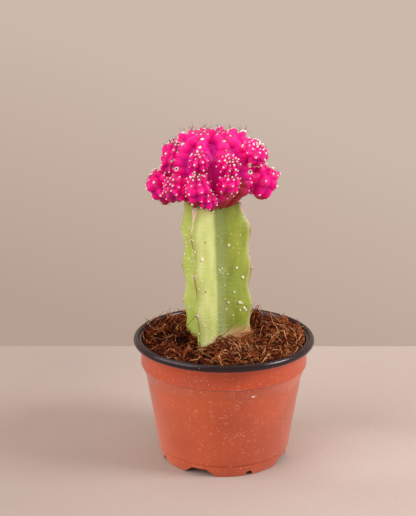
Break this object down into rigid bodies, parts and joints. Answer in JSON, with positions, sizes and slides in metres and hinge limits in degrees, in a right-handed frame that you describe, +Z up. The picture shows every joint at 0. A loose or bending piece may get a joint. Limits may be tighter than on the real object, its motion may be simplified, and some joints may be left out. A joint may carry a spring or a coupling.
{
  "type": "potted moon cactus",
  "caption": "Grafted moon cactus: a pink ribbed scion with a crown of offsets on a three-ribbed green rootstock, in coir in a two-tone nursery pot.",
  "frame": {"origin": "centre of the pot's foot, on the surface it stands on", "axes": "+Z up along the pot's axis; -Y is the front; +X is to the right seen from the front"},
  "size_m": [0.1, 0.1, 0.1822],
  "materials": {
    "pot_plastic": "semi-matt terracotta-coloured polypropylene outside, black inside and on the rolled rim",
    "coir": "matt red-brown coconut fibre",
    "green_stem": "waxy yellow-green skin with corky rib edges",
    "pink_scion": "satin hot-pink skin with woolly areoles",
    "pink_offset": "satin hot-pink skin with woolly areoles"
  },
  "bodies": {
    "root": {"nursery_pot": "pot_plastic", "coir_fill": "coir", "rootstock": "green_stem", "scion_head": "pink_scion", "offset_front_left_upper": "pink_offset", "offset_front_left_lower": "pink_offset", "offset_front_left_bud": "pink_offset", "offset_front_right_upper": "pink_offset", "offset_front_right_lower": "pink_offset", "offset_left_upper": "pink_offset", "offset_left_lower": "pink_offset", "offset_left_front_lower": "pink_offset", "offset_right_upper": "pink_offset", "offset_right_lower": "pink_offset", "offset_back_left_upper": "pink_offset", "offset_back_right_upper": "pink_offset", "offset_back_left_lower": "pink_offset", "offset_back_lower": "pink_offset", "offset_back_right_lower": "pink_offset", "offset_left_back_upper": "pink_offset", "offset_right_back_upper": "pink_offset"}
  },
  "joints": []
}
